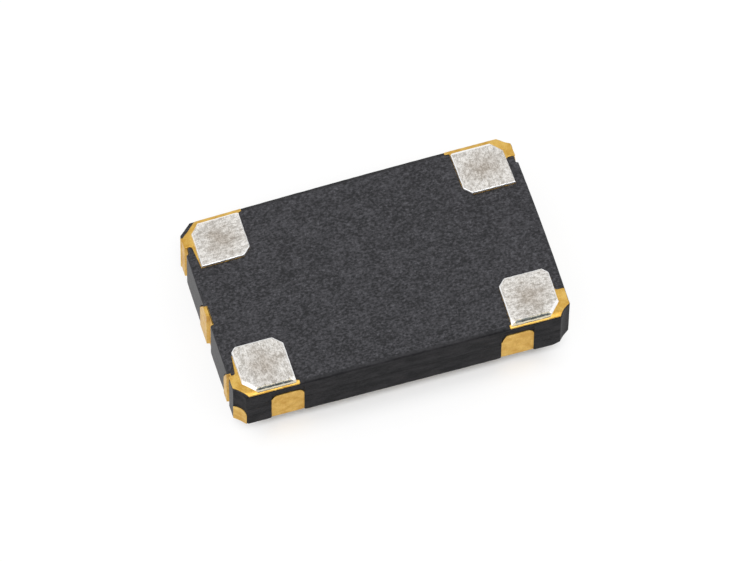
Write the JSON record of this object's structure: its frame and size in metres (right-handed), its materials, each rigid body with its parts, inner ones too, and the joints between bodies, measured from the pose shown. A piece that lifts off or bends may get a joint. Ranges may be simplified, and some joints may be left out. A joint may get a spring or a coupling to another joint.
{
  "type": "crystal oscillator",
  "caption": "Surface-mount crystal oscillator in a black ceramic package, with corner terminals, gold side channels and a welded metal lid.",
  "frame": {"origin": "middle of the lid's outer face, which the part rests on", "axes": "+Z from the lid towards the terminals, +X along the long side, +Y towards the back side"},
  "size_m": [0.0052, 0.0032, 0.001],
  "materials": {
    "black_ceramic": "matt fired alumina, fine grain",
    "nickel_plated_lid": "satin nickel plate",
    "gold_plated_frame": "satin gold plate",
    "braze": "satin silver braze",
    "gold_plating": "satin gold plate",
    "solder_coat": "mottled tin",
    "silicon": "polished silicon",
    "die_adhesive": "silver-filled epoxy",
    "tungsten": "sintered",
    "gold_wire": "drawn gold",
    "quartz": "clear, etched",
    "gold_film": "evaporated gold",
    "silver_glue": "silver-filled silicone"
  },
  "bodies": {
    "root": {"ceramic_body": "black_ceramic", "lid": "nickel_plated_lid", "seal_ring": "gold_plated_frame", "ring_braze": "braze", "land_front_left": "gold_plating", "land_front_right": "gold_plating", "land_back_left": "gold_plating", "land_back_right": "gold_plating", "pad_front_left": "solder_coat", "pad_front_right": "solder_coat", "pad_back_left": "solder_coat", "pad_back_right": "solder_coat", "side_gold_front_left": "gold_plating", "side_gold_front_right": "gold_plating", "side_gold_back_left": "gold_plating", "side_gold_back_right": "gold_plating", "end_gold_left": "gold_plating", "end_gold_right": "gold_plating", "notch_gold": "gold_plating", "oscillator_chip": "silicon", "chip_adhesive": "die_adhesive", "bond_fingers": "gold_plating", "terminal_vias": "tungsten", "bond_wires": "gold_wire", "crystal_blank": "quartz", "electrode_upper": "gold_film", "electrode_lower": "gold_film", "crystal_pads": "gold_plating", "crystal_glue": "silver_glue"}
  },
  "joints": []
}
